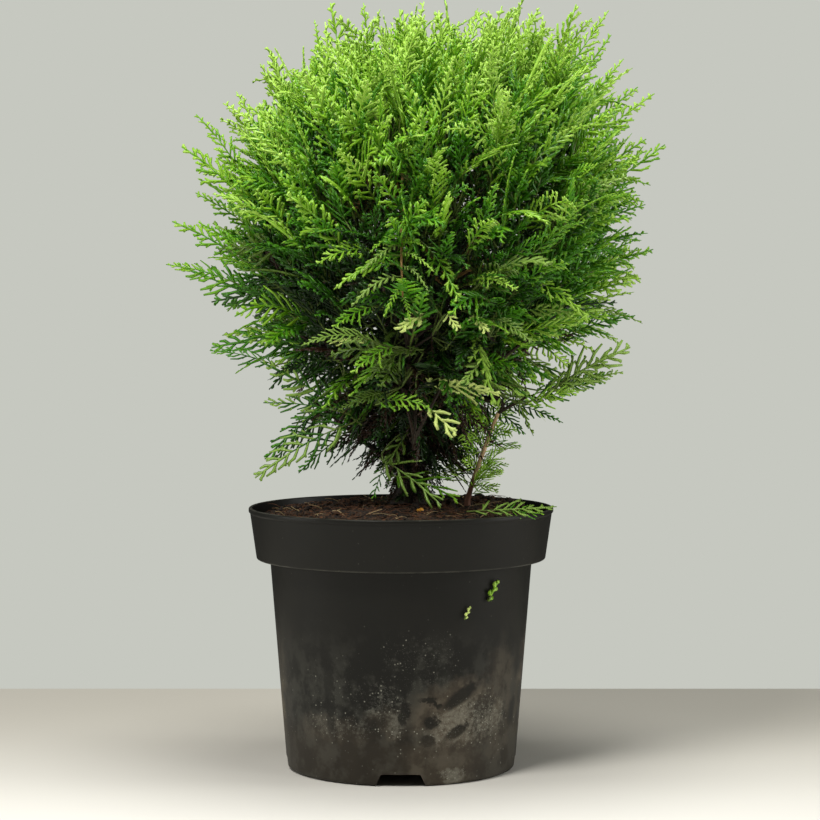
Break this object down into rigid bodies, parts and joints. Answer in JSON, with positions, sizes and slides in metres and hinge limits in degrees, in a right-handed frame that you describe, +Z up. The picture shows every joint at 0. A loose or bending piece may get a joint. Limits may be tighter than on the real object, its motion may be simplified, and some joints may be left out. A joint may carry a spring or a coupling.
{
  "type": "potted thuja",
  "caption": "Dense globe-shaped evergreen shrub with flat fern-like sprays on a short trunk, in a round plastic nursery pot filled with soil.",
  "frame": {"origin": "middle of the flat underside of the pot", "axes": "+Z up along the pot's axis, +Y to the back, +X to the right seen from the front"},
  "size_m": [0.397, 0.3947, 0.6222],
  "materials": {
    "pot_plastic": "black polypropylene, satin, dusty near the base",
    "soil": "dark brown peat with bark bits, loose and matt",
    "bark": "red-brown fibrous bark",
    "foliage": "scale leaves, fresh green at the tips and deep green inside"
  },
  "bodies": {
    "root": {"pot": "pot_plastic", "soil": "soil", "trunk": "bark", "side_stem": "bark", "bough_skirt_1": "bark", "bough_skirt_2": "bark", "bough_skirt_4": "bark", "bough_skirt_5": "bark", "bough_lower_1": "bark", "bough_lower_2": "bark", "bough_lower_3": "bark", "bough_lower_4": "bark", "bough_lower_5": "bark", "bough_lower_6": "bark", "bough_middle_1": "bark", "bough_middle_2": "bark", "bough_middle_3": "bark", "bough_middle_4": "bark", "bough_middle_5": "bark", "bough_middle_6": "bark", "bough_upper_1": "bark", "bough_upper_2": "bark", "bough_upper_3": "bark", "bough_upper_4": "bark", "foliage_top": "foliage", "foliage_skirt_1": "foliage", "foliage_skirt_2": "foliage", "foliage_skirt_3": "foliage", "foliage_skirt_4": "foliage", "foliage_skirt_5": "foliage", "foliage_lower_1": "foliage", "foliage_lower_2": "foliage", "foliage_lower_3": "foliage", "foliage_lower_4": "foliage", "foliage_lower_5": "foliage", "foliage_lower_6": "foliage", "foliage_middle_1": "foliage", "foliage_middle_2": "foliage", "foliage_middle_3": "foliage", "foliage_middle_4": "foliage", "foliage_middle_5": "foliage", "foliage_middle_6": "foliage", "foliage_upper_1": "foliage", "foliage_upper_2": "foliage", "foliage_upper_3": "foliage", "foliage_upper_4": "foliage"}
  },
  "joints": []
}
